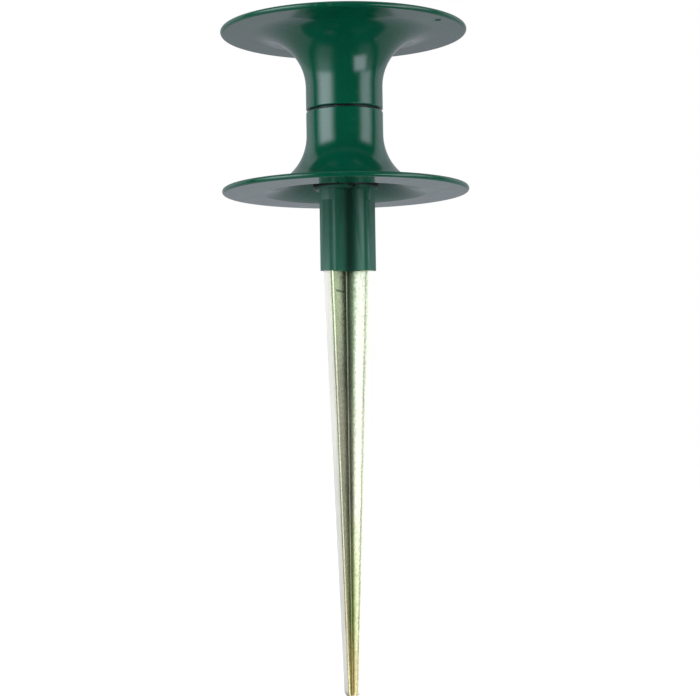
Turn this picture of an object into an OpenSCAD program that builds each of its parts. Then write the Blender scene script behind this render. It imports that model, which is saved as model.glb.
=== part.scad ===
// Hose guide stake: a two-part roller that turns on a moulded spindle, on a pressed steel spike.
// Millimetres, +Z up. The origin is on the roller axis at the soil line, the lower end of the socket.
// The open V of the spike and of the socket faces -Y.

/* [Rollers] */
// Outer diameter of both flanges
flange_d = 100; // [90:1:130]
// Thickness of each flange, which has a fully rounded rim
flange_t = 2.2; // [1.8:0.1:2.4]
// Outer diameter of the waist, where the hose runs
waist_d = 31.2; // [30:0.2:40]
// Radius of the flare between the waist and a flange
flare_r = 21.7; // [18:0.1:26]
// Length of each roller, from its waist end to its outer flange face
roller_l = 33.1; // [31:0.1:48]
// Wall of the flare
flare_wall = 2.6; // [2.6:0.1:3.4]
// Rounding of a roller's edge beside the running gap
waist_edge_r = 0.5; // [0.2:0.1:1]
// Thickness of the end wall that carries the hub at the waist
end_wall = 3; // [2:0.1:5]
// Number of ribs between the hub and the flare
rib_count = 6; // [3:1:10]
// Thickness of each rib
rib_t = 1.6; // [1:0.1:2.4]
// How far a rib stops short of its hub's end
rib_setback = 5; // [4:0.1:9]

/* [Hubs and bushes] */
// Wall of the hub tube inside each roller
hub_wall = 2.4; // [2:0.1:3]
// Depth of the lower hub's end inside the lower flange face
lower_hub_inset = 4.4; // [3:0.1:8]
// Wall of each bearing bush
bush_wall = 1.9; // [1.4:0.1:2.4]
// Thickness of a bush's flange
bush_flange_t = 1.2; // [0.8:0.1:2]
// How far a bush's flange reaches over the end of its hub
bush_flange_w = 1.9; // [1:0.1:2]
// Radial running clearance of each bush on the spindle
run_clear = 0.08; // [0.03:0.01:0.1]
// Radial clearance of pieces that are pressed or screwed into their holes
fit_clear = 0.03; // [0.01:0.01:0.08]
// Play between pieces stacked along the spindle
axial_clear = 0.1; // [0.05:0.01:0.3]

/* [Washers, screw and cap] */
// Diameter of the thrust washer under the lower roller
thrust_washer_d = 26.4; // [25:0.1:27]
// Thickness of the thrust washer
thrust_washer_t = 0.8; // [0.5:0.1:1.5]
// Diameter of the washer in the gap at the waist
waist_washer_d = 28; // [25:0.1:29]
// Thickness of the washer in the gap at the waist
waist_washer_t = 0.7; // [0.5:0.1:1.5]
// Radial clearance of both plain washers on the spindle
washer_clear = 0.2; // [0.1:0.05:0.4]
// Diameter of the washer that keeps the upper roller on the spindle
retaining_washer_d = 25; // [23:0.1:26]
// Thickness of the retaining washer
retaining_washer_t = 1.6; // [1:0.1:2.5]
// Diameter of the retaining screw's shank
screw_d = 6; // [4:0.1:7]
// Length of the retaining screw under its head
screw_l = 24; // [16:0.5:26]
// Diameter of the retaining screw's flanged head
screw_head_d = 13; // [11:0.1:16]
// Height of the retaining screw's head
screw_head_h = 4; // [3:0.1:5]
// Thickness of the flange of the screw's head
screw_flange_t = 1.3; // [0.8:0.1:2]
// Width of the screw's hexagon across its flats
screw_hex_w = 9; // [7:0.1:10]
// Radial clearance of the screw in its hole in the washer
screw_clear = 0.25; // [0.1:0.05:0.5]
// Free height between the screw's head and the cap
head_room = 2.6; // [1:0.1:5]
// Width of the ledge that carries the cap in the mouth of the upper roller
cap_ledge = 3.4; // [2:0.1:5]
// Thickness of the cap
cap_t = 1.6; // [1.2:0.1:1.8]
// Radial clearance of the cap in its seat
cap_clear = 0.1; // [0.05:0.05:0.2]
// Diameter of the stiffening ring under the cap
cap_ring_d = 34; // [30:0.5:36]
// Wall of the stiffening ring
cap_ring_wall = 1.6; // [1:0.1:2.4]
// Height of the stiffening ring below the cap
cap_ring_h = 3; // [1:0.1:3.4]

/* [Socket] */
// Diameter of the spindle that the rollers turn on
spindle_d = 19; // [18:0.1:19.4]
// Wall of the spindle's cored upper part
spindle_wall = 2.2; // [1.8:0.1:2.6]
// Wall round the screw's hole in the spindle
screw_boss_wall = 2.1; // [1.6:0.1:2.6]
// Thickness of the webs between the screw boss and the spindle's wall
web_t = 1.6; // [1:0.1:2.4]
// Height of the socket, from the soil line to the top of its collar
socket_h = 33.9; // [26:0.1:50]
// Diameter of the collar that carries the thrust washer
collar_d = 25; // [22:0.1:26]
// Thickness of the collar
collar_t = 0.9; // [0.8:0.1:2]
// Width of the notch in the front of the collar
collar_notch_w = 3.6; // [2:0.1:6]
// Width across the side fins
fin_w = 22.8; // [21:0.1:26]
// Thickness of each fin
fin_t = 2.4; // [1.6:0.1:3]
// Angle at which the fins sweep back
fin_sweep = 45; // [35:1:50]
// Radius of the two front crests
crest_r = 2.5; // [2:0.1:2.8]
// Distance between the middles of the crests
crest_spacing = 14.3; // [13.8:0.1:14.8]
// Distance from the roller axis forward to the middle of the crests
crest_y = 4; // [3.6:0.1:4.4]
// Radius at the bottom of the V between the crests
groove_r = 1.2; // [0.6:0.1:3]
// Distance from the roller axis to the flat back of the socket
back_y = 4.6; // [4.4:0.1:6]
// Width of each lug along its fin, under the collar
lug_w = 4; // [3:0.1:4.4]
// Distance from the middle of a fin's rounded edge in to its lug
lug_inset = 0.8; // [0.4:0.1:1.2]
// Height of each lug, up to the top of the collar
lug_h = 5.6; // [3:0.1:8]
// How far a lug stands out from both faces of its fin
lug_proud = 1.2; // [0.4:0.1:1.4]

/* [Spike] */
// Length of the spike below the soil line
spike_l = 170.5; // [120:0.5:260]
// Thickness of the pressed sheet
sheet_t = 1; // [0.8:0.1:1.4]
// Distance between the two front folds at the soil line
crest_w = 14.1; // [13:0.1:14.4]
// Depth of the V at the soil line
crest_h = 6.1; // [5.6:0.1:6.4]
// Sideways reach of each side flank at the soil line
flank_w = 2.9; // [2:0.1:3.4]
// Sideways reach of each side flank at the tip
tip_flank_w = 1.7; // [1.4:0.1:2.4]
// Angle at which the flanks sweep back
flank_sweep = 24; // [15:1:35]
// Thickness of the sheet at the tip
tip_t = 0.7; // [0.6:0.1:0.8]
// Size of the V at the tip, as a part of its size at the soil line
tip_scale = 0.24; // [0.24:0.01:0.5]
// Length of the rounded end of the tip
tip_round = 2.2; // [1.6:0.1:4]
// Inside radius of the two front folds
fold_r = 0.15; // [0.1:0.05:0.3]
// Inside radius of the fold at the bottom of the V
vertex_r = 0.5; // [0.3:0.05:0.7]
// Distance from the roller axis back to the fold at the bottom of the V
vertex_y = 2; // [1.8:0.1:2.2]
// Solid length between the end of the tang and the hollow round the screw boss
tang_gap = 6.5; // [3:0.5:14]
// Width of the tang
tang_w = 9.6; // [9:0.1:10]
// Clearance of the tang in its pocket
tang_clear = 0.1; // [0.05:0.05:0.2]
// Diameter of the pins through the spindle and tang
pin_d = 3; // [2:0.1:3.2]
// Distance between the pins
pin_spacing = 5; // [4.6:0.1:5.2]
// Height of the pins above the collar
pin_rise = 12; // [6:0.5:14]
// How far a pin's ends lie below the spindle's surface
pin_inset = 0.4; // [0.2:0.1:1]

/* [Hidden] */
$fn = 96;
// Rings of the rounded tip, and the angle it turns through before its blunt end
tip_rings = 4;
tip_turn = 48;
// Steps of the arc round each fold of the sheet, and of the arc at the bottom of the socket's V
fold_steps = 6;
groove_steps = 8;

green = [0.0, 0.27, 0.18];
zinc = [0.80, 0.79, 0.66];
black = [0.05, 0.05, 0.06];
graphite = [0.13, 0.13, 0.14];

// Overlap that joins shapes and clears cuts, and how far a flat face lies inside the round it runs into
eps = 0.01;
cut = 1;
tuck = 0.02;

// Radii, from the axis outwards
spindle_r = spindle_d / 2;
bush_ir = spindle_r + run_clear;
bush_or = bush_ir + bush_wall;
hub_r = bush_or + hub_wall;
waist_r = waist_d / 2;
flange_r = flange_d / 2;
flare_x = waist_r + flare_r;

// Lengths along a roller, measured from its waist end
flare_start = roller_l - flange_t - flare_r;
lower_hub_l = roller_l - lower_hub_inset;
head_stack = axial_clear + retaining_washer_t + screw_head_h + head_room + cap_t;
upper_hub_l = roller_l - head_stack - bush_flange_t;

// Radius of a roller's hollow at distance t from its waist end, within the flare
function hollow_r(t) = flare_x - sqrt(pow(flare_r + flare_wall, 2) - pow(t - flare_start, 2));
cap_seat_r = hollow_r(roller_l - cap_t) + cap_ledge;

// Heights of the stack on the spindle, which starts in the collar, as the socket below ends in it
collar_mid = socket_h - collar_t / 2;
spindle_z = collar_mid - collar_t / 4;
thrust_z = socket_h;
lower_bush_z = thrust_z + thrust_washer_t + axial_clear;
lower_hub_z = lower_bush_z + bush_flange_t;
lower_waist_z = lower_hub_z + lower_hub_l;
waist_washer_z = lower_waist_z + axial_clear;
upper_waist_z = waist_washer_z + waist_washer_t + axial_clear;
upper_hub_z = upper_waist_z + upper_hub_l;
upper_bush_top = upper_hub_z + bush_flange_t;
spindle_top = upper_bush_top + axial_clear;
screw_head_z = spindle_top + retaining_washer_t;
top_z = upper_waist_z + roller_l;
pin_z = socket_h + pin_rise;
core_z = screw_head_z - screw_l;
tang_top = core_z - tang_gap;

// Spike section: the middle line of the sheet from the left flank's end to the right one's, where down is
// 0 at the soil line and 1 at the tip
half_crest = crest_w / 2;
slope = crest_h / half_crest;
function sheet_line(down) =
    let (size = 1 + (tip_scale - 1) * down,
         reach = flank_w + (tip_flank_w - flank_w) * down,
         x = size * half_crest,
         y = -size * crest_h,
         end_y = y + reach * tan(flank_sweep))
    [[-x - reach, end_y], [-x, y], [0, 0], [x, y], [x + reach, end_y]];

// Socket section: the walls of its V are parallel to the spike's and touch the round of each crest, and so do
// the front faces of the fins
crest_x = crest_spacing / 2;
v_angle = atan(slope);
v_edge = [crest_x, -crest_y] - (crest_r - tuck) * [sin(v_angle), cos(v_angle)];
v_bottom = v_edge[1] + v_edge[0] * slope;
groove_bottom = v_bottom - groove_r * (1 / cos(v_angle) - 1);
fin_x = (fin_w - fin_t) / 2;
fin_out = fin_x - crest_x;
fin_back = (fin_out * sin(fin_sweep) - crest_r + fin_t / 2) / cos(fin_sweep);
fin_root = fin_out * cos(fin_sweep) + fin_back * sin(fin_sweep);

function unit(v) = v / norm(v);
function left_of(v) = [-v[1], v[0]];

// A line of points moved sideways by d, with mitred corners
function offset_line(p, d) = [
    for (i = [0 : len(p) - 1])
        let (a = left_of(unit(i == 0 ? p[1] - p[0] : p[i] - p[i - 1])),
             b = left_of(unit(i == len(p) - 1 ? p[i] - p[i - 1] : p[i + 1] - p[i])))
        p[i] + d * (a + b) / (1 + a * b)
];

// Arc of radius r that rounds corner p between its neighbours a and b
function rounded(a, p, b, r, steps) =
    let (u = unit(a - p), v = unit(b - p), half = acos(u * v) / 2,
         c = p + unit(u + v) * r / sin(half),
         from = p + u * r / tan(half) - c, to = p + v * r / tan(half) - c,
         a0 = atan2(from[1], from[0]), turn = atan2(to[1], to[0]) - a0,
         sweep = turn > 180 ? turn - 360 : turn < -180 ? turn + 360 : turn)
    [for (i = [0 : steps]) let (a = a0 + sweep * i / steps) c + r * [cos(a), sin(a)]];

// Outline of a sheet t thick along a line of points from left to right. Its folds point to the front, the
// -Y side, and to the rear in turn, with inside radius front_r and rear_r. front_first gives the first.
function is_front_fold(i, front_first) = (i % 2 == 1) == front_first;
function sheet_outline(line, t, front_r, rear_r, front_first) =
    let (front = offset_line(line, -t / 2),
         rear = offset_line(line, t / 2),
         last = len(line) - 1)
    concat([front[0]],
           [for (i = [1 : last - 1])
               let (bend_r = is_front_fold(i, front_first) ? front_r + t : rear_r)
               each rounded(front[i - 1], front[i], front[i + 1], bend_r, fold_steps)],
           [front[last], rear[last]],
           [for (i = [last - 1 : -1 : 1])
               let (bend_r = is_front_fold(i, front_first) ? front_r : rear_r + t)
               each rounded(rear[i + 1], rear[i], rear[i - 1], bend_r, fold_steps)],
           [rear[0]]);

// Outline of the spike, where down is 0 at the soil line and 1 at the tip
function spike_section(down) =
    sheet_outline(sheet_line(down), sheet_t + (tip_t - sheet_t) * down, fold_r, vertex_r, true);

// Tang: the V of the spike without its flanks, grown by g on every side
module tang_2d(g) {
    reach = tang_w / 2 + g;
    line = [[-reach, -reach * slope], [0, 0], [reach, -reach * slope]];
    translate([0, vertex_y])
        polygon(sheet_outline(line, sheet_t + 2 * g, fold_r, vertex_r - g, false));
}

// Full outline of a roller without its hollow: x is the radius, y runs from the waist end to the flange
module roller_envelope_2d() {
    square([waist_r - waist_edge_r, flare_start + eps]);
    translate([0, waist_edge_r])
        square([waist_r, flare_start - waist_edge_r + eps]);
    translate([waist_r - waist_edge_r, waist_edge_r])
        circle(waist_edge_r);
    difference() {
        translate([0, flare_start])
            square([flare_x, flare_r + flange_t / 2]);
        translate([flare_x, flare_start])
            circle(flare_r);
    }
    translate([0, roller_l - flange_t])
        square([flange_r - flange_t / 2, flange_t]);
    translate([flange_r - flange_t / 2, roller_l - flange_t / 2])
        circle(flange_t / 2);
}

// Hollow of a roller, up to distance t from its waist end
module roller_hollow_2d(t) {
    translate([0, end_wall])
        square([waist_r - flare_wall, flare_start - end_wall + eps]);
    difference() {
        translate([0, flare_start])
            square([flare_x, t - flare_start]);
        translate([flare_x, flare_start])
            circle(flare_r + flare_wall);
    }
}

// One rib between the hub and the flare, ending inside the flare's wall
module rib(rib_end) {
    rotate([90, 0, 0])
        translate([0, 0, -rib_t / 2])
            linear_extrude(rib_t)
                difference() {
                    translate([hub_r - hub_wall / 2, end_wall / 2])
                        square([flare_x - hub_r, rib_end - end_wall / 2]);
                    translate([flare_x, flare_start])
                        circle(flare_r + flare_wall / 2);
                    translate([waist_r - flare_wall / 2, -cut])
                        square([flare_x, flare_start + cut]);
                }
}

// A roller with its waist end at z = 0 and its flange up. Its hollow opens through the flange, or into a
// seat of radius seat_r and depth seat_t.
module roller(hub_l, seat_r = 0, seat_t = 0) {
    difference() {
        union() {
            rotate_extrude()
                difference() {
                    roller_envelope_2d();
                    if (seat_t > 0) {
                        roller_hollow_2d(roller_l - seat_t + eps);
                        translate([0, roller_l - seat_t])
                            square([seat_r, seat_t + cut]);
                    } else {
                        roller_hollow_2d(roller_l + cut);
                    }
                }
            cylinder(r = hub_r, h = hub_l);
            for (i = [0 : rib_count - 1])
                rotate(i * 360 / rib_count)
                    rib(hub_l - rib_setback);
        }
        translate([0, 0, -cut])
            cylinder(r = bush_or + fit_clear, h = hub_l + 2 * cut);
    }
}

// A flanged bush with its plain end at z = 0 and its flange up
module bush(hub_l) {
    difference() {
        union() {
            cylinder(r = bush_or, h = hub_l + bush_flange_t);
            translate([0, 0, hub_l])
                cylinder(r = bush_or + bush_flange_w, h = bush_flange_t);
        }
        translate([0, 0, -cut])
            cylinder(r = bush_ir, h = hub_l + bush_flange_t + 2 * cut);
    }
}

module washer(d, t, hole_r) {
    difference() {
        cylinder(d = d, h = t);
        translate([0, 0, -cut])
            cylinder(r = hole_r, h = t + 2 * cut);
    }
}

// Section of the socket below the spindle, without its fins
module socket_2d() {
    left_edge = [-v_edge[0], v_edge[1]];
    polygon(concat([[-crest_x, back_y], [-crest_x, -crest_y], left_edge],
                   rounded(left_edge, [0, v_bottom], v_edge, groove_r, groove_steps),
                   [v_edge, [crest_x, -crest_y], [crest_x, back_y]]));
    for (side = [-1, 1])
        translate([side * crest_x, -crest_y])
            circle(crest_r);
}

// Puts its children at the right fin's rounded edge, with the fin along their -X, and at the left one's
module fin_places() {
    for (side = [0, 1])
        mirror([side, 0, 0])
            translate([fin_x, fin_back - crest_y, 0])
                rotate(fin_sweep)
                    children();
}

// Two swept fins, each with a lug at its top that stiffens the collar
module fins() {
    fin_places() {
        cylinder(d = fin_t, h = collar_mid);
        translate([-fin_root, tuck - fin_t / 2, 0])
            cube([fin_root, fin_t - 2 * tuck, collar_mid]);
        translate([-lug_inset - lug_w, -fin_t / 2 - lug_proud, socket_h - lug_h])
            cube([lug_w, fin_t + 2 * lug_proud, lug_h - collar_t / 2]);
    }
}

// Round collar under the thrust washer, open at the front where the V runs out
module collar() {
    difference() {
        translate([0, 0, socket_h - collar_t])
            cylinder(d = collar_d, h = collar_t);
        translate([-collar_notch_w / 2, -collar_d, socket_h - collar_t - cut])
            cube([collar_notch_w, collar_d + groove_bottom, collar_t + 2 * cut]);
    }
}

// Hollow round the screw boss at the top of the spindle, bridged by four webs
module spindle_core() {
    difference() {
        translate([0, 0, core_z])
            cylinder(r = spindle_r - spindle_wall, h = spindle_top - core_z + cut);
        translate([0, 0, core_z - cut])
            cylinder(r = screw_d / 2 + screw_boss_wall, h = spindle_top - core_z + 3 * cut);
        for (angle = [0, 90])
            rotate(angle)
                translate([-spindle_r, -web_t / 2, core_z - cut])
                    cube([2 * spindle_r, web_t, spindle_top - core_z + 3 * cut]);
    }
}

module pin_places() {
    for (side = [-1, 1])
        translate([side * pin_spacing / 2, 0, pin_z])
            rotate([90, 0, 0])
                children();
}

module spike() {
    straight_l = spike_l - tip_round;
    part_down = straight_l / spike_l;
    end = spike_section(part_down);
    middle = [0, -crest_h * tip_scale / 2];
    angles = [for (i = [0 : tip_rings]) i * tip_turn / tip_rings];
    rings = concat([[for (p = spike_section(0)) [p[0], p[1], 0]]],
                   [for (a = angles)
                       [for (p = end)
                           let (q = middle + cos(a) * (p - middle))
                           [q[0], q[1], -straight_l - tip_round * sin(a) / sin(tip_turn)]]]);
    n = len(end);
    last = (len(rings) - 1) * n;
    sides = [for (k = [0 : len(rings) - 2]) for (i = [0 : n - 1])
        [k * n + i, k * n + (i + 1) % n, (k + 1) * n + (i + 1) % n, (k + 1) * n + i]];
    strip = [for (i = [0 : n / 2 - 2]) [i, i + 1, n - 2 - i, n - 1 - i]];
    top = [for (f = strip) [f[3], f[2], f[1], f[0]]];
    bottom = [for (f = strip) [for (i = f) last + i]];
    color(zinc)
        difference() {
            union() {
                translate([0, vertex_y, 0])
                    polyhedron([for (ring = rings) each ring], concat(top, sides, bottom));
                linear_extrude(tang_top)
                    tang_2d(0);
            }
            pin_places()
                cylinder(d = pin_d + 2 * fit_clear, h = spindle_d, center = true);
        }
}

module socket() {
    color(green)
        difference() {
            union() {
                linear_extrude(collar_mid)
                    socket_2d();
                fins();
                collar();
                translate([0, 0, spindle_z])
                    cylinder(r = spindle_r, h = spindle_top - spindle_z);
            }
            translate([0, 0, -cut])
                linear_extrude(tang_top + cut)
                    tang_2d(tang_clear);
            spindle_core();
            translate([0, 0, core_z])
                cylinder(d = screw_d + 2 * fit_clear, h = spindle_top - core_z + cut);
            pin_places()
                cylinder(d = pin_d + 2 * fit_clear, h = spindle_d, center = true);
        }
}

module tang_pins() {
    chord = 2 * sqrt(pow(spindle_r - pin_inset, 2) - pow(pin_spacing / 2 + pin_d / 2, 2));
    color(zinc)
        pin_places()
            cylinder(d = pin_d, h = chord, center = true);
}

module thrust_washer() {
    color(black)
        translate([0, 0, thrust_z])
            washer(thrust_washer_d, thrust_washer_t, spindle_r + washer_clear);
}

module lower_roller() {
    color(green)
        translate([0, 0, lower_waist_z])
            mirror([0, 0, 1])
                roller(lower_hub_l);
}

module lower_bush() {
    color(graphite)
        translate([0, 0, lower_waist_z])
            mirror([0, 0, 1])
                bush(lower_hub_l);
}

module waist_washer() {
    color(black)
        translate([0, 0, waist_washer_z])
            washer(waist_washer_d, waist_washer_t, spindle_r + washer_clear);
}

module upper_roller() {
    color(green)
        translate([0, 0, upper_waist_z])
            roller(upper_hub_l, cap_seat_r, cap_t);
}

module upper_bush() {
    color(graphite)
        translate([0, 0, upper_waist_z])
            bush(upper_hub_l);
}

module retaining_washer() {
    color(zinc)
        translate([0, 0, spindle_top])
            washer(retaining_washer_d, retaining_washer_t, screw_d / 2 + screw_clear);
}

module retaining_screw() {
    color(zinc)
        translate([0, 0, screw_head_z]) {
            cylinder(d = screw_head_d, h = screw_flange_t);
            cylinder(d = screw_hex_w / cos(30), h = screw_head_h, $fn = 6);
            translate([0, 0, -screw_l])
                cylinder(d = screw_d, h = screw_l + eps);
        }
}

module top_cap() {
    color(green)
        translate([0, 0, top_z - cap_t]) {
            cylinder(r = cap_seat_r - cap_clear, h = cap_t);
            translate([0, 0, -cap_ring_h])
                washer(cap_ring_d, cap_ring_h + eps, cap_ring_d / 2 - cap_ring_wall);
        }
}

spike();
socket();
tang_pins();
thrust_washer();
lower_roller();
lower_bush();
waist_washer();
upper_roller();
upper_bush();
retaining_washer();
retaining_screw();
top_cap();
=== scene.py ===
import math

import bmesh
import bpy
from mathutils import Matrix, Vector


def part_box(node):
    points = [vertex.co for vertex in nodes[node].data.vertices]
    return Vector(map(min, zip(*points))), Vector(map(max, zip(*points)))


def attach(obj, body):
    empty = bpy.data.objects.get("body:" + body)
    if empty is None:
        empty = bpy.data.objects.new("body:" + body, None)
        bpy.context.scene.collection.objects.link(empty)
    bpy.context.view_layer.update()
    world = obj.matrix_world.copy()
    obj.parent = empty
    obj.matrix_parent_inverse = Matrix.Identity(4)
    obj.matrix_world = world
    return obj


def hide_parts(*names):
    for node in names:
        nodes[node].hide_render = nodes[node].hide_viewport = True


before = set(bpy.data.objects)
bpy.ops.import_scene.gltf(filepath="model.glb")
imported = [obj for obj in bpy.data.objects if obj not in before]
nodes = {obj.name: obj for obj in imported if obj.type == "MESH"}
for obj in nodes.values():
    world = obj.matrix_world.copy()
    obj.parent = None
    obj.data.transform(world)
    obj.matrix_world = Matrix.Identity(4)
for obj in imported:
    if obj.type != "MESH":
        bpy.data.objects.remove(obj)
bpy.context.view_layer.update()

MM = 0.001

# The view of the photograph, from just below the flanges
VIEW_AZIMUTH = -11.5
VIEW_DISTANCE = 732.7 * MM
VIEW_HEIGHT = -65.1 * MM
VIEW_PITCH = 2.6
VIEW_YAW = -0.055
VIEW_ROLL = -0.9
IMAGE_SIDE = 700
FOCAL_PIXELS = 1817.3
SENSOR_WIDTH = 36.0

# The studio that glossy surfaces mirror. Turns are degrees round the axis from the view, and rises are degrees
# above the horizon. Four numbers are a band: where it starts, is full, begins to fade and ends.
PANEL_RISE = (-14.0, -1.0, 26.0, 38.0)
LEFT_TURN = (-96.0, -66.0, -50.0, -24.0)
LEFT_GLOW = 5.3
RIGHT_TURN = (40.0, 60.0, 72.0, 97.0)
RIGHT_GLOW = 3.3
# A dim skirt below both panels, brighter towards its upper end
SKIRT_RISE = (-62.0, -50.0, -8.0, 2.0)
SKIRT_BRIGHTENS = (-45.0, -12.0)
SKIRT_LEVELS = (0.12, 0.28)
# A bright foot below the right panel
FOOT_TURN = (24.0, 36.0, 56.0, 76.0)
FOOT_RISE = (-42.0, -32.0, -14.0, -3.0)
FOOT_GLOW = 1.4
# The pale sweep behind the object, dimmer right behind it and below the horizon
SWEEP_TURN = (98.0, 110.0)
SWEEP_DIMS = (126.0, 150.0)
SWEEP_LEVELS = (0.9, 0.5)
SWEEP_HORIZON = (-12.0, 0.0)
SWEEP_BELOW = 0.48
CEILING_RISE = (45.0, 70.0)
CEILING_GLOW = 0.6
FLOOR_RADIUS = 4

# The spike's V: from its fold to a crest at the soil line, its size at the tip as a part of that, the slope of
# its walls, and the place of its fold behind the roller axis
CREST_HALF = 7.05 * MM
TIP_SIZE = 0.24
V_SLOPE = 0.865
FOLD_Y = 2.0 * MM

# A thin dark line across the left wall of the V: a band of heights, its slope, and a band of places across the wall,
# where -1 is the left crest and 0 the fold
DARK_LINE_HEIGHTS = (-9.3 * MM, -8.9 * MM, -8.5 * MM, -8.0 * MM)
DARK_LINE_SLOPE = 0.16
DARK_LINE_ACROSS = (-0.85, -0.70, -0.12, -0.05)

# Thickness of the flanges at their rims, and where the satin of the lower one's upper face begins and is full
FLANGE_THICK = 2.2 * MM
SATIN_RADII = (26.0 * MM, 38.0 * MM)

# The socket: the radius of its collar and of its rounded edges, where its fins begin and are full, the middle and
# half width of the painted shade in its V, and how deep the V's front reaches
COLLAR_RADIUS = 11.8 * MM
SOCKET_EDGE = 0.35 * MM
FIN_START = (7.6 * MM, 8.8 * MM)
V_SHADE_X = 1.0 * MM
V_SHADE_HALF = (0.5 * MM, 3.6 * MM)
V_SHADE_FRONT = (-1.2 * MM, -0.4 * MM)

# The cap: its thickness, the ring under it and the dimple of its moulding gate
CAP_THICK = 1.6 * MM
CAP_RING = (15.4 * MM, 17.0 * MM)
CAP_EDGE = 0.35 * MM
CAP_GATE = 1.6 * MM
CAP_DIMPLE = 0.25 * MM
CAP_STEPS = 128

# The ejector mark, as it shows in the photograph
MARK_AZIMUTH = 45.5
MARK_RADIUS = 44.5 * MM
MARK_Z = 96.5 * MM
MARK_WIDTH = 2.6 * MM
MARK_DEPTH = 0.15 * MM

# A rim so far outside the part that nothing is worn
NO_RIM = 1.0

# Edges of new pieces that turn by more than this stay sharp, and points nearer than WELD are one
SHARP_ANGLE = math.radians(32)
WELD = 1e-6

# Colours
GREEN = (0.0010, 0.088, 0.046, 1)
SCUFFED_GREEN = (0.10, 0.19, 0.15, 1)
SHEEN_AND_WEAR_GREEN = (0.20, 0.25, 0.26, 1)
V_SHADE_GREEN = (0.0002, 0.034, 0.02, 1)
FLANK_ZINC = (0.99, 1, 0.84, 1)
LEFT_WALL_SHADE_ZINC = (0.76, 0.68, 0.78, 1)
WARM_ZINC = (0.64, 0.62, 0.50, 1)
COOL_ZINC = (0.58, 0.63, 0.52, 1)
WASHER_BLACK = (0.008, 0.008, 0.009, 1)
BEARING_BLACK = (0.015, 0.015, 0.016, 1)
RUBBED_BLACK = (0.08, 0.08, 0.08, 1)
FLOOR_GREY = (0.8, 0.8, 0.8, 1)
WHITE = (1, 1, 1, 1)
FILL_LIGHT = (0.95, 0.98, 1, 1)
PANEL_LIGHT = (0.95, 0.94, 1.08, 1)

spike_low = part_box("spike")[0]
head_z = (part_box("lower_roller")[1].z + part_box("upper_roller")[0].z) / 2
flange_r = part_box("upper_roller")[1].x
upper_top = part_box("upper_roller")[1].z
lower_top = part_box("lower_roller")[0].z + FLANGE_THICK


def around(azimuth, distance, z):
    """A place round the roller axis. Azimuth 0 is on the -Y side, and 90 on the +X side."""
    angle = math.radians(azimuth)
    return Vector((distance * math.sin(angle), -distance * math.cos(angle), z))


def add_object(name, data):
    obj = bpy.data.objects.new(name, data)
    bpy.context.scene.collection.objects.link(obj)
    return obj


def add_mesh(name, bm, material):
    """An object from a finished bmesh, which is freed."""
    mesh = bpy.data.meshes.new(name)
    bm.to_mesh(mesh)
    bm.free()
    mesh.materials.append(material)
    return add_object(name, mesh)


# Camera

def make_camera():
    camera = add_object("camera", bpy.data.cameras.new("camera"))
    camera.data.sensor_width = SENSOR_WIDTH
    camera.data.lens = SENSOR_WIDTH * FOCAL_PIXELS / IMAGE_SIDE
    camera.data.clip_start = 0.01
    turn = Matrix.Rotation(math.radians(VIEW_AZIMUTH + VIEW_YAW), 3, "Z")
    tilt = Matrix.Rotation(math.radians(90 + VIEW_PITCH), 3, "X")
    roll = Matrix.Rotation(math.radians(VIEW_ROLL), 3, "Z")
    camera.rotation_euler = (turn @ tilt @ roll).to_euler()
    camera.location = around(VIEW_AZIMUTH, VIEW_DISTANCE, VIEW_HEIGHT)
    bpy.context.scene.camera = camera


# Node helpers

def add(tree, kind, **settings):
    """A shader node. Settings are its properties, or its inputs where the name starts with a capital."""
    node = tree.nodes.new(kind)
    for name, value in settings.items():
        if name[0].isupper():
            node.inputs[name.replace("_", " ")].default_value = value
        else:
            setattr(node, name, value)
    return node


def plug(tree, value, socket):
    """Sets a socket to a number or colour, or links it to another socket."""
    if isinstance(value, bpy.types.NodeSocket):
        tree.links.new(value, socket)
    else:
        socket.default_value = value


def math_node(tree, operation, *values):
    node = add(tree, "ShaderNodeMath", operation=operation)
    for value, socket in zip(values, node.inputs):
        plug(tree, value, socket)
    return node.outputs["Value"]


def ramp(tree, value, start, end, low=0.0, high=1.0):
    """value from start to end becomes low to high, with soft ends."""
    node = add(tree, "ShaderNodeMapRange", interpolation_type="SMOOTHSTEP")
    ends = {"Value": value, "From Min": start, "From Max": end, "To Min": low, "To Max": high}
    for name, number in ends.items():
        plug(tree, number, node.inputs[name])
    return node.outputs["Result"]


def band(tree, value, rise, full, fade, end):
    """1 from full to fade, falling to 0 at rise and at end."""
    up = ramp(tree, value, rise, full)
    down = ramp(tree, value, fade, end, 1.0, 0.0)
    return math_node(tree, "MULTIPLY", up, down)


def blend_colour(tree, mode, factor, first, second):
    node = add(tree, "ShaderNodeMix", data_type="RGBA", blend_type=mode)
    plug(tree, factor, node.inputs["Factor"])
    plug(tree, first, node.inputs[6])
    plug(tree, second, node.inputs[7])
    return node.outputs[2]


def blend_shader(tree, factor, first, second):
    node = add(tree, "ShaderNodeMixShader")
    tree.links.new(factor, node.inputs["Fac"])
    tree.links.new(first, node.inputs[1])
    tree.links.new(second, node.inputs[2])
    return node.outputs["Shader"]


def noise(tree, place, scale, detail=2.0, rough=0.5):
    node = add(tree, "ShaderNodeTexNoise", Scale=scale, Detail=detail, Roughness=rough)
    tree.links.new(place, node.inputs["Vector"])
    return node.outputs["Fac"]


def colour_stops(tree, value, stops):
    """Colours at places from 0 to 1, and blends between them."""
    node = add(tree, "ShaderNodeValToRGB")
    elements = node.color_ramp.elements
    elements.remove(elements[1])
    elements[0].position, elements[0].color = stops[0]
    for position, colour in stops[1:]:
        elements.new(position).color = colour
    tree.links.new(value, node.inputs["Fac"])
    return node.outputs["Color"]


def stretched(tree, place, scale):
    node = add(tree, "ShaderNodeMapping", Scale=scale)
    tree.links.new(place, node.inputs["Vector"])
    return node.outputs["Vector"]


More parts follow.
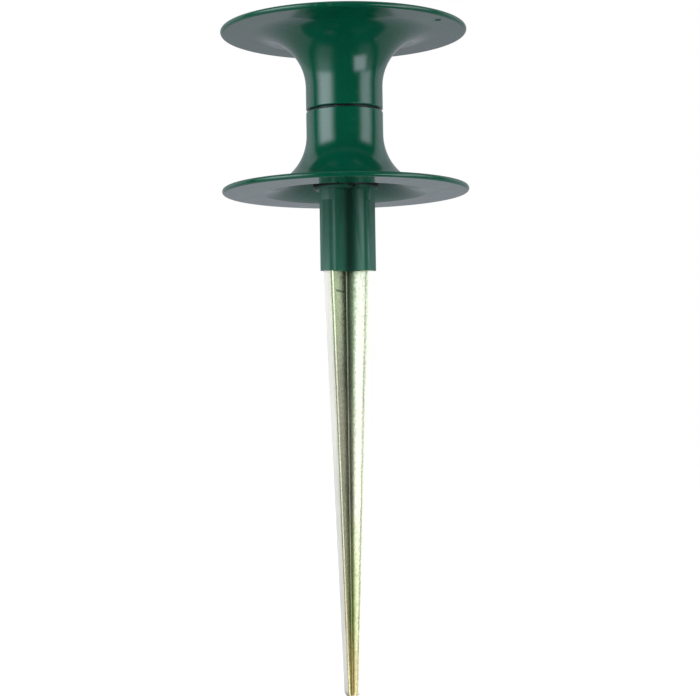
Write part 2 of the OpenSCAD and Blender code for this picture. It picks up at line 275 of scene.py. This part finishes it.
def split(tree, place):
    """The X, Y and Z of a place."""
    node = add(tree, "ShaderNodeSeparateXYZ")
    tree.links.new(place, node.inputs["Vector"])
    return node.outputs["X"], node.outputs["Y"], node.outputs["Z"]


def length(tree, vector):
    node = add(tree, "ShaderNodeVectorMath", operation="LENGTH")
    tree.links.new(vector, node.inputs[0])
    return node.outputs["Value"]


# Light

def make_lamp(name, azimuth, distance, z, width, height, glow):
    """A rectangular lamp that faces the roller. glow is the brightness of its face, where 1 is white."""
    data = bpy.data.lights.new(name, "AREA")
    data.shape = "RECTANGLE"
    data.size = width
    data.size_y = height
    data.energy = glow * math.pi * width * height
    lamp = add_object(name, data)
    lamp.location = around(azimuth, distance, z)
    aim = Vector((0, 0, head_z)) - lamp.location
    lamp.rotation_euler = aim.to_track_quat("-Z", "Y").to_euler()
    lamp.visible_camera = False
    lamp.visible_glossy = False


def make_panels(tree):
    """The brightness of the studio in each direction: two soft panels, a pale sweep and a ceiling."""
    x, y, z = split(tree, add(tree, "ShaderNodeTexCoord").outputs["Generated"])
    forward = math_node(tree, "MULTIPLY", y, -1.0)
    azimuth = math_node(tree, "DEGREES", math_node(tree, "ARCTAN2", x, forward))
    turn = math_node(tree, "SUBTRACT", azimuth, VIEW_AZIMUTH)
    rise = math_node(tree, "DEGREES", math_node(tree, "ARCSINE", z))

    skirt_level = ramp(tree, rise, *SKIRT_BRIGHTENS, *SKIRT_LEVELS)
    skirt = math_node(tree, "MULTIPLY", band(tree, rise, *SKIRT_RISE), skirt_level)
    tall = math_node(tree, "MAXIMUM", band(tree, rise, *PANEL_RISE), skirt)
    left = math_node(tree, "MULTIPLY", band(tree, turn, *LEFT_TURN), tall)
    right = math_node(tree, "MULTIPLY", band(tree, turn, *RIGHT_TURN), tall)
    foot = math_node(tree, "MULTIPLY", band(tree, turn, *FOOT_TURN), band(tree, rise, *FOOT_RISE))
    right = math_node(tree, "MAXIMUM", right, math_node(tree, "MULTIPLY", foot, FOOT_GLOW))
    panels = math_node(tree, "MULTIPLY_ADD", left, LEFT_GLOW, math_node(tree, "MULTIPLY", right, RIGHT_GLOW))

    away = math_node(tree, "ABSOLUTE", turn)
    above = ramp(tree, away, *SWEEP_DIMS, *SWEEP_LEVELS)
    level = ramp(tree, rise, *SWEEP_HORIZON, SWEEP_BELOW, above)
    sweep = math_node(tree, "MULTIPLY", ramp(tree, away, *SWEEP_TURN), level)
    ceiling = ramp(tree, rise, *CEILING_RISE, 0.0, CEILING_GLOW)
    return math_node(tree, "ADD", panels, math_node(tree, "MAXIMUM", sweep, ceiling))


def make_world():
    """White to the camera, an even fill to matt surfaces, and the studio to glossy ones."""
    world = bpy.data.worlds.new("studio")
    bpy.context.scene.world = world
    world.use_nodes = True
    world.cycles.sampling_method = "NONE"
    tree = world.node_tree
    tree.nodes.clear()
    path = add(tree, "ShaderNodeLightPath")
    gloss = math_node(tree, "MAXIMUM", path.outputs["Is Glossy Ray"], path.outputs["Is Transmission Ray"])
    fill = add(tree, "ShaderNodeBackground", Color=FILL_LIGHT, Strength=0.4)
    mirrored = add(tree, "ShaderNodeBackground", Color=PANEL_LIGHT)
    tree.links.new(make_panels(tree), mirrored.inputs["Strength"])
    white = add(tree, "ShaderNodeBackground", Color=WHITE, Strength=1)
    unseen = blend_shader(tree, gloss, fill.outputs["Background"], mirrored.outputs["Background"])
    whole = blend_shader(tree, path.outputs["Is Camera Ray"], unseen, white.outputs["Background"])
    out = add(tree, "ShaderNodeOutputWorld")
    tree.links.new(whole, out.inputs["Surface"])


def make_floor():
    """A pale floor at the tip of the spike, which is open when seen from below."""
    mat = bpy.data.materials.new("pale_floor")
    mat.use_nodes = True
    tree = mat.node_tree
    tree.nodes.clear()
    path = add(tree, "ShaderNodeLightPath")
    matt = add(tree, "ShaderNodeBsdfDiffuse", Color=FLOOR_GREY)
    white = add(tree, "ShaderNodeEmission", Color=WHITE)
    tree.links.new(math_node(tree, "MULTIPLY", path.outputs["Is Camera Ray"], 0.7), white.inputs["Strength"])
    both = add(tree, "ShaderNodeAddShader")
    tree.links.new(matt.outputs["BSDF"], both.inputs[0])
    tree.links.new(white.outputs["Emission"], both.inputs[1])
    below = add(tree, "ShaderNodeNewGeometry").outputs["Backfacing"]
    clear = add(tree, "ShaderNodeBsdfTransparent").outputs["BSDF"]
    out = add(tree, "ShaderNodeOutputMaterial")
    tree.links.new(blend_shader(tree, below, both.outputs["Shader"], clear), out.inputs["Surface"])

    bm = bmesh.new()
    bmesh.ops.create_circle(bm, cap_ends=True, segments=64, radius=FLOOR_RADIUS)
    bmesh.ops.translate(bm, verts=bm.verts, vec=(0, 0, spike_low.z))
    floor = add_mesh("floor", bm, mat)
    floor.visible_glossy = False
    floor.visible_shadow = False


# Shared surface effects

def new_group(name, inputs, outputs):
    """A shader node group with its sockets, and its input and output sockets as seen from inside."""
    group = bpy.data.node_groups.new(name, "ShaderNodeTree")
    for socket in inputs:
        kind = "NodeSocketVector" if socket == "Place" else "NodeSocketFloat"
        group.interface.new_socket(socket, in_out="INPUT", socket_type=kind)
    for socket in outputs:
        group.interface.new_socket(socket, in_out="OUTPUT", socket_type="NodeSocketFloat")
    return group, group.nodes.new("NodeGroupInput").outputs, group.nodes.new("NodeGroupOutput").inputs


def make_moulded_skin():
    """The skin of a moulding: slow changes of tone and gloss, and a faint ripple."""
    group, given, made = new_group("moulded_skin", ["Place", "Ripple Scale"], ["Tone", "Gloss", "Height"])
    cloud = noise(group, given["Place"], 55.0, 3.0)
    patch = noise(group, given["Place"], 160.0, 2.0)
    ripple = add(group, "ShaderNodeTexNoise", Detail=2.0)
    group.links.new(given["Place"], ripple.inputs["Vector"])
    group.links.new(given["Ripple Scale"], ripple.inputs["Scale"])
    group.links.new(ramp(group, cloud, 0.3, 0.7, 0.92, 1.08), made["Tone"])
    group.links.new(ramp(group, patch, 0.3, 0.7), made["Gloss"])
    group.links.new(ripple.outputs["Fac"], made["Height"])
    return group


def make_scuffs():
    """Fine short scratches that run round the axis, and a few dull rubbed spots."""
    group, given, made = new_group("scuffs", ["Place", "Amount"], ["Scratch", "Rub"])
    turned = add(group, "ShaderNodeMapping", Rotation=(0.4, 0.2, 0.9), Scale=(1, 1, 9))
    group.links.new(given["Place"], turned.inputs["Vector"])
    fine = noise(group, turned.outputs["Vector"], 420.0, 3.0, 0.65)
    where = noise(group, given["Place"], 70.0, 2.0)
    lines = math_node(group, "MULTIPLY", ramp(group, fine, 0.66, 0.72), ramp(group, where, 0.5, 0.62))
    group.links.new(math_node(group, "MULTIPLY", lines, given["Amount"]), made["Scratch"])
    rubs_and_unshaded_fold = ramp(group, noise(group, given["Place"], 240.0, 4.0, 0.6), 0.58, 0.72)
    group.links.new(math_node(group, "MULTIPLY", rubs_and_unshaded_fold, given["Amount"]), made["Rub"])
    return group


def make_rim_wear():
    """A broken line of wear round a rim, and 0 away from it."""
    group, given, made = new_group("rim_wear", ["Place", "Radius", "Width"], ["Wear"])
    flat = add(group, "ShaderNodeVectorMath", operation="MULTIPLY")
    group.links.new(given["Place"], flat.inputs[0])
    flat.inputs[1].default_value = (1, 1, 0)
    start = math_node(group, "SUBTRACT", given["Radius"], given["Width"])
    near = ramp(group, length(group, flat.outputs["Vector"]), start, given["Radius"])
    broken = ramp(group, noise(group, given["Place"], 320.0, 5.0, 0.62), 0.48, 0.68)
    group.links.new(math_node(group, "MULTIPLY", near, broken), made["Wear"])
    return group


def use_group(tree, group, **values):
    node = add(tree, "ShaderNodeGroup", node_tree=group)
    for name, value in values.items():
        plug(tree, value, node.inputs[name.replace("_", " ")])
    return node.outputs


moulded_skin = make_moulded_skin()
scuffs = make_scuffs()
rim_wear = make_rim_wear()


# Materials

def start_material(name):
    mat = bpy.data.materials.new(name)
    mat.use_nodes = True
    tree = mat.node_tree
    place = add(tree, "ShaderNodeTexCoord").outputs["Object"]
    return mat, tree, tree.nodes["Principled BSDF"], place


def raise_surface(tree, shader, height, depth):
    bump = add(tree, "ShaderNodeBump", Strength=1.0, Distance=depth)
    plug(tree, height, bump.inputs["Height"])
    tree.links.new(bump.outputs["Normal"], shader.inputs["Normal"])


def make_green(name, rough, rim_radius):
    """Dark green moulding, worn pale along the rim at rim_radius and satin on the upper faces of the flanges."""
    mat, tree, shader, place = start_material(name)
    skin = use_group(tree, moulded_skin, Place=place, Ripple_Scale=420.0)
    marks = use_group(tree, scuffs, Place=place, Amount=1.0)
    rim = use_group(tree, rim_wear, Place=place, Radius=rim_radius, Width=1.1 * MM)
    base = blend_colour(tree, "MULTIPLY", 1.0, GREEN, skin["Tone"])
    dusty = math_node(tree, "MULTIPLY", marks["Rub"], 0.05)
    scuffed = math_node(tree, "MAXIMUM", math_node(tree, "MULTIPLY", rim["Wear"], 0.06), dusty)
    tree.links.new(blend_colour(tree, "MIX", scuffed, base, SCUFFED_GREEN), shader.inputs["Base Color"])

    dull = math_node(tree, "MULTIPLY_ADD", skin["Gloss"], 0.04, rough)
    dull = math_node(tree, "MULTIPLY_ADD", marks["Scratch"], 0.10, dull)
    dull = math_node(tree, "MULTIPLY_ADD", rim["Wear"], 0.12, dull)
    z = split(tree, place)[2]
    out = length(tree, stretched(tree, place, (1, 1, 0)))
    top_face = ramp(tree, z, upper_top - 0.3 * MM, upper_top - 0.1 * MM)
    at_ledge = band(tree, z, lower_top - 0.3 * MM, lower_top - 0.1 * MM, lower_top + 2.0 * MM, lower_top + 6.0 * MM)
    ledge = math_node(tree, "MULTIPLY", ramp(tree, out, *SATIN_RADII), at_ledge)
    dull = math_node(tree, "MULTIPLY_ADD", math_node(tree, "MAXIMUM", top_face, ledge), 0.42, dull)
    tree.links.new(dull, shader.inputs["Roughness"])
    raise_surface(tree, shader, math_node(tree, "MULTIPLY_ADD", marks["Scratch"], -1.0, skin["Height"]), 1e-6)
    return mat


def make_socket_green():
    """The same green on the socket: duller, paler with painted sheen on its fins, and darkened by painted shade at
    the bottom of its V.
    """
    mat, tree, shader, place = start_material("green_socket")
    skin = use_group(tree, moulded_skin, Place=place, Ripple_Scale=420.0)
    marks = use_group(tree, scuffs, Place=place, Amount=1.0)
    rim = use_group(tree, rim_wear, Place=place, Radius=COLLAR_RADIUS, Width=0.8 * MM)
    x, y = split(tree, place)[:2]
    fin = ramp(tree, math_node(tree, "ABSOLUTE", x), *FIN_START)
    # Painted shade: the bottom of the V is darkened, and also made rougher
    aside = math_node(tree, "ABSOLUTE", math_node(tree, "SUBTRACT", x, V_SHADE_X))
    front = ramp(tree, y, *V_SHADE_FRONT, 1.0, 0.0)
    v_shade = math_node(tree, "MULTIPLY", ramp(tree, aside, *V_SHADE_HALF, 1.0, 0.0), front)

    base = blend_colour(tree, "MULTIPLY", 1.0, GREEN, skin["Tone"])
    # Painted sheen makes the fins paler grey and the rest of the socket a little paler; worn and rubbed places are
    # paler too
    sheen_and_wear = math_node(tree, "MULTIPLY_ADD", fin, 0.11, 0.05)
    sheen_and_wear = math_node(tree, "MULTIPLY_ADD", math_node(tree, "MAXIMUM", rim["Wear"], marks["Rub"]), 0.06, sheen_and_wear)
    base = blend_colour(tree, "MIX", sheen_and_wear, base, SHEEN_AND_WEAR_GREEN)
    base = blend_colour(tree, "MIX", math_node(tree, "MULTIPLY", v_shade, 0.8), base, V_SHADE_GREEN)
    tree.links.new(base, shader.inputs["Base Color"])

    dull = math_node(tree, "MULTIPLY_ADD", skin["Gloss"], 0.04, 0.42)
    dull = math_node(tree, "MULTIPLY_ADD", marks["Scratch"], 0.10, dull)
    dull = math_node(tree, "MULTIPLY_ADD", fin, 0.08, dull)
    dull = math_node(tree, "MULTIPLY_ADD", v_shade, 0.45, dull)
    tree.links.new(dull, shader.inputs["Roughness"])
    raise_surface(tree, shader, math_node(tree, "MULTIPLY_ADD", marks["Scratch"], -1.0, skin["Height"]), 1e-6)
    return mat


def zinc_base(tree, place):
    """Zinc plating over drawn sheet: lines along the draw, slow clouds and fine grain."""
    drawn = noise(tree, stretched(tree, place, (1, 1, 0.04)), 1500.0, 3.0)
    cloud = noise(tree, stretched(tree, place, (1, 1, 0.3)), 90.0, 3.0)
    grain = noise(tree, stretched(tree, place, (1, 1, 0.6)), 1500.0, 3.0, 0.6)
    return drawn, cloud, grain


def make_spike_zinc():
    """Zinc on the spike. Its yellow coat deepens towards the tip, and painted shade darkens it near the fold of the V
    and on its left wall.

    down is 0 at the soil line and 1 at the tip. across is -1 and 1 at the crests of the V and 0 at its fold.
    """
    mat, tree, shader, place = start_material("zinc_spike")
    drawn, cloud, grain = zinc_base(tree, place)
    x, y, z = split(tree, place)
    down = math_node(tree, "DIVIDE", z, spike_low.z)
    size = math_node(tree, "MULTIPLY_ADD", down, TIP_SIZE - 1, 1.0)
    across = math_node(tree, "DIVIDE", x, math_node(tree, "MULTIPLY", size, CREST_HALF))
    from_fold = math_node(tree, "ABSOLUTE", across)
    right_wall = ramp(tree, across, -0.05, 0.05)
    in_v = ramp(tree, from_fold, 0.95, 1.3, 1.0, 0.0)
    sheet_y = math_node(tree, "MULTIPLY_ADD", math_node(tree, "ABSOLUTE", x), V_SLOPE, y)
    rear = ramp(tree, sheet_y, FOLD_Y - 0.15 * MM, FOLD_Y + 0.15 * MM)

    # The coat: paler on the flanks, yellow in the V, and darkened by painted shade on the front of its left wall
    wander = math_node(tree, "MULTIPLY_ADD", math_node(tree, "SUBTRACT", cloud, 0.5), 0.3, down)
    coat = colour_stops(tree, wander, ((0, (0.93, 0.95, 0.88, 1)), (0.4, (0.93, 0.93, 0.86, 1)),
                                       (0.75, (0.92, 0.93, 0.80, 1)), (1, (0.93, 0.90, 0.74, 1))))
    yellow = colour_stops(tree, down, ((0, (0.88, 1, 0.66, 1)), (0.6, (0.88, 1, 0.64, 1)),
                                       (1, (0.95, 0.94, 0.50, 1))))
    tinted = math_node(tree, "MULTIPLY", in_v, ramp(tree, right_wall, 0.0, 1.0, 1.0, 0.62))
    coat = blend_colour(tree, "MIX", in_v, FLANK_ZINC, coat)
    yellowed = blend_colour(tree, "MULTIPLY", tinted, coat, yellow)
    # Painted shade on the front of the left wall
    left_wall_shade = math_node(tree, "MULTIPLY", in_v, ramp(tree, right_wall, 0.0, 1.0, 1.0, 0.0))
    left_wall_shade = math_node(tree, "MULTIPLY", left_wall_shade, band(tree, down, 0.05, 0.30, 0.85, 1.0))
    left_wall_shade = math_node(tree, "MULTIPLY", left_wall_shade, ramp(tree, rear, 0.0, 1.0, 1.0, 0.0))
    yellowed = blend_colour(tree, "MULTIPLY", left_wall_shade, yellowed, LEFT_WALL_SHADE_ZINC)

    # Painted shade near the fold: widest on the right wall, kept off the fold itself and faint on the rear
    fold_shade = colour_stops(tree, wander, ((0.1, (0.15, 0.21, 0.12, 1)), (0.5, (0.32, 0.34, 0.22, 1)),
                                        (0.8, (0.25, 0.32, 0.10, 1)), (1, (0.42, 0.33, 0.11, 1))))
    patchy = math_node(tree, "MULTIPLY_ADD", math_node(tree, "SUBTRACT", grain, 0.5), 0.25, from_fold)
    start = math_node(tree, "MULTIPLY_ADD", right_wall, 0.20, 0.06)
    near_tip = ramp(tree, down, 0.45, 0.95, 0.50, 0.95)
    end = math_node(tree, "MULTIPLY_ADD", right_wall, ramp(tree, down, 0.45, 0.95, 0.38, 0.10), near_tip)
    # Painted shade near the fold, darker towards the tip
    unshaded = ramp(tree, patchy, start, end)
    rubs_and_unshaded_fold = ramp(tree, from_fold, 0.025, 0.07, 0.55, 0.0)
    unshaded = math_node(tree, "MAXIMUM", unshaded, rubs_and_unshaded_fold)
    unshaded = math_node(tree, "MAXIMUM", unshaded, math_node(tree, "MULTIPLY", rear, 0.9))
    fold_shaded = blend_colour(tree, "MIX", unshaded, fold_shade, yellowed)

    # A thin dark line across the left wall, in the colour of the painted shade
    dark_line_height = math_node(tree, "MULTIPLY_ADD", x, DARK_LINE_SLOPE, z)
    dark_line = math_node(tree, "MULTIPLY", band(tree, dark_line_height, *DARK_LINE_HEIGHTS), band(tree, across, *DARK_LINE_ACROSS))
    dark_line = math_node(tree, "MULTIPLY", dark_line, ramp(tree, rear, 0.4, 0.6, 0.75, 0.0))
    fold_shaded = blend_colour(tree, "MIX", dark_line, fold_shaded, fold_shade)
    specks = math_node(tree, "MULTIPLY", ramp(tree, grain, 0.36, 0.62, 0.24, 0.0), in_v)
    streaks = ramp(tree, drawn, 0.3, 0.7, 0.93, 1.0)
    tone = math_node(tree, "MULTIPLY", math_node(tree, "SUBTRACT", 1.02, specks), streaks)
    tree.links.new(blend_colour(tree, "MULTIPLY", 1.0, fold_shaded, tone), shader.inputs["Base Color"])
    shader.inputs["Metallic"].default_value = 1.0

    near_crest = ramp(tree, from_fold, 0.35, 0.95)
    matt = math_node(tree, "MULTIPLY_ADD", right_wall, 0.22, 0.13)
    left_wall = ramp(tree, across, -0.85, -0.65, 0.0, ramp(tree, across, -0.15, -0.05, 0.08, 0.0))
    rough = math_node(tree, "MULTIPLY_ADD", near_crest, matt, ramp(tree, cloud, 0.3, 0.7, 0.27, 0.35))
    rough = math_node(tree, "ADD", rough, left_wall)
    tree.links.new(rough, shader.inputs["Roughness"])
    raise_surface(tree, shader, math_node(tree, "MULTIPLY_ADD", drawn, 0.6, grain), 6e-6)
    return mat


def make_fastener_zinc():
    """Zinc on the screw, its washer and the pins."""
    mat, tree, shader, place = start_material("zinc_fastener")
    drawn, cloud, grain = zinc_base(tree, place)
    tint = blend_colour(tree, "MIX", ramp(tree, cloud, 0.35, 0.65), WARM_ZINC, COOL_ZINC)
    tone = ramp(tree, drawn, 0.3, 0.7, 0.88, 1.04)
    tree.links.new(blend_colour(tree, "MULTIPLY", 1.0, tint, tone), shader.inputs["Base Color"])
    shader.inputs["Metallic"].default_value = 1.0
    tree.links.new(ramp(tree, cloud, 0.3, 0.7, 0.26, 0.36), shader.inputs["Roughness"])
    raise_surface(tree, shader, grain, 5e-6)
    return mat


def make_dark(name, colour, rough):
    """Plain dark plastic of a washer or bush, with a fine matt texture."""
    mat, tree, shader, place = start_material(name)
    skin = use_group(tree, moulded_skin, Place=place, Ripple_Scale=1800.0)
    marks = use_group(tree, scuffs, Place=place, Amount=1.0)
    base = blend_colour(tree, "MULTIPLY", 1.0, colour, skin["Tone"])
    worn = math_node(tree, "MULTIPLY", marks["Rub"], 0.15)
    tree.links.new(blend_colour(tree, "MIX", worn, base, RUBBED_BLACK), shader.inputs["Base Color"])
    tree.links.new(math_node(tree, "MULTIPLY_ADD", skin["Gloss"], 0.1, rough), shader.inputs["Roughness"])
    raise_surface(tree, shader, skin["Height"], 8e-6)
    return mat


green_roller = make_green("green_roller", rough=0.15, rim_radius=flange_r)
green_socket = make_socket_green()
green_mark = make_green("green_mark", rough=0.65, rim_radius=NO_RIM)
zinc_spike = make_spike_zinc()
zinc_fastener = make_fastener_zinc()
black_washer = make_dark("black_washer", WASHER_BLACK, rough=0.45)
# The bushes are black plastic, and their dark also stands in for painted shade round the hub under the lower flange
dark_bearing = make_dark("dark_bearing", BEARING_BLACK, rough=0.4)

finishes = {
    "spike": zinc_spike,
    "socket": green_socket,
    "tang_pins": zinc_fastener,
    "thrust_washer": black_washer,
    "lower_roller": green_roller,
    "lower_bush": dark_bearing,
    "waist_washer": black_washer,
    "upper_roller": green_roller,
    "upper_bush": dark_bearing,
    "retaining_washer": zinc_fastener,
    "retaining_screw": zinc_fastener,
    "top_cap": green_roller,
}
for name, finish in finishes.items():
    nodes[name].data.materials.clear()
    nodes[name].data.materials.append(finish)


# Pieces that the scene adds or stands in for

def smooth(piece):
    piece.data.shade_smooth()
    piece.data.set_sharp_from_angle(angle=SHARP_ANGLE)


def make_socket_moulding():
    """The socket with its outer edges rounded."""
    bm = bmesh.new()
    bm.from_mesh(nodes["socket"].data)
    bmesh.ops.remove_doubles(bm, verts=bm.verts, dist=WELD)
    bmesh.ops.dissolve_limit(bm, angle_limit=math.radians(0.3), verts=bm.verts, edges=bm.edges)
    corners = [e for e in bm.edges if e.is_manifold and e.calc_face_angle_signed(0) > math.radians(35)]
    bmesh.ops.bevel(bm, geom=corners, offset=SOCKET_EDGE, segments=3, profile=0.5, affect="EDGES", material=-1,
                    clamp_overlap=True)
    piece = add_mesh("socket_moulding", bm, green_socket)
    smooth(piece)
    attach(piece, "stake")
    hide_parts("socket")


def make_cap_cover():
    """The cap as it was moulded: a rounded edge, and the dimple of the gate in the middle."""
    low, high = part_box("top_cap")
    rim, top, under = high.x, high.z, high.z - CAP_THICK
    inner, outer = CAP_RING
    edge = [(rim - CAP_EDGE * (1 - math.sin(a)), top - CAP_EDGE * (1 - math.cos(a)))
            for a in (i * math.pi / 8 for i in range(5))]
    profile = [(0, top - CAP_DIMPLE), (CAP_GATE - CAP_DIMPLE, top - CAP_DIMPLE), (CAP_GATE, top),
               (rim - CAP_EDGE - 0.05 * MM, top), *edge, (rim, under), (outer, under), (outer, low.z),
               (inner, low.z), (inner, under), (0, under)]
    bm = bmesh.new()
    ring = [bm.verts.new((r, 0, z)) for r, z in profile]
    lines = [bm.edges.new(pair) for pair in zip(ring, ring[1:])]
    bmesh.ops.spin(bm, geom=ring + lines, cent=(0, 0, 0), axis=(0, 0, 1), angle=2 * math.pi, steps=CAP_STEPS,
                   use_merge=True)
    bmesh.ops.remove_doubles(bm, verts=bm.verts, dist=WELD)
    bmesh.ops.recalc_face_normals(bm, faces=bm.faces)
    piece = add_mesh("cap_cover", bm, green_roller)
    smooth(piece)
    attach(piece, "upper_wheel")
    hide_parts("top_cap")


def make_ejector_mark():
    """The round mark of an ejector pin on the underside of the upper flange."""
    place = around(MARK_AZIMUTH, MARK_RADIUS, MARK_Z)
    radius = MARK_WIDTH / 2
    bm = bmesh.new()
    bmesh.ops.create_cone(bm, cap_ends=True, segments=32, radius1=radius - MARK_DEPTH, radius2=radius,
                          depth=2 * MARK_DEPTH, matrix=Matrix.Translation(place))
    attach(add_mesh("ejector_mark", bm, green_mark), "upper_wheel")


make_socket_moulding()
make_cap_cover()
make_ejector_mark()

make_camera()
make_lamp("lamp_left", azimuth=-68, distance=1.1, z=0.15, width=0.7, height=1.2, glow=3.0)
make_lamp("lamp_right", azimuth=54, distance=1.1, z=0.15, width=0.8, height=1.2, glow=2.2)
make_lamp("lamp_behind", azimuth=170, distance=1.4, z=0.9, width=1.0, height=0.8, glow=1.5)
make_world()
make_floor()

bpy.context.scene.view_settings.view_transform = "Standard"
